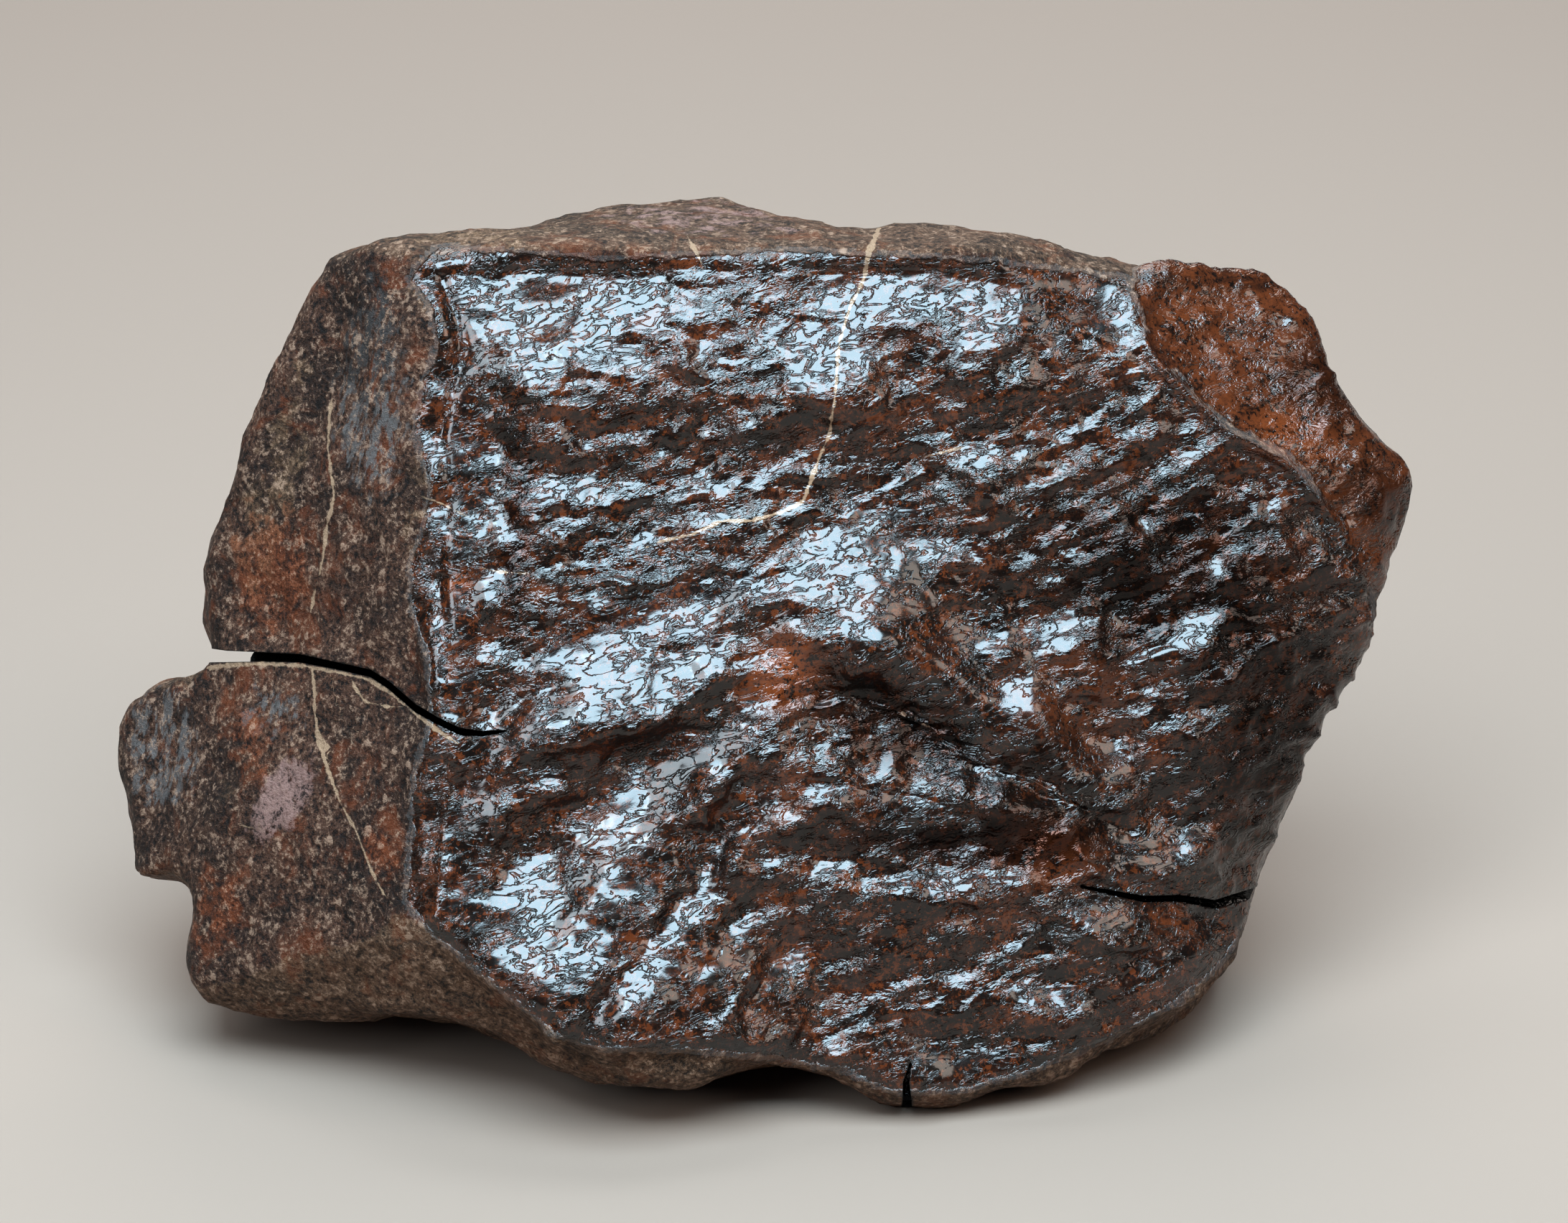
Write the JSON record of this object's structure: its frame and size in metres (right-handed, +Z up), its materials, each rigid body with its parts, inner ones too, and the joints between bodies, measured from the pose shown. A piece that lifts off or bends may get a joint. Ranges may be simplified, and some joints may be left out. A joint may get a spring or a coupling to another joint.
{
  "type": "chondrite meteorite",
  "caption": "Hand-sized weathered chondrite meteorite: a blocky broken stone with a rippled varnished face, open cracks and pale veins, resting on a small flat spot.",
  "frame": {"origin": "centre of the bounding box in X and Y, at the height of the flat spot that the stone rests on", "axes": "+X along the stone's greatest length, to the right of the varnished face as a viewer sees it; -Y towards that face; +Z up from the rest spot"},
  "size_m": [0.1444, 0.0828, 0.0889],
  "materials": {
    "weathered_stone": "dark reddish brown varnished crust with a wet sheen on the front, dull and grainy on the other broken faces"
  },
  "bodies": {
    "root": {"meteorite": "weathered_stone"}
  },
  "joints": []
}
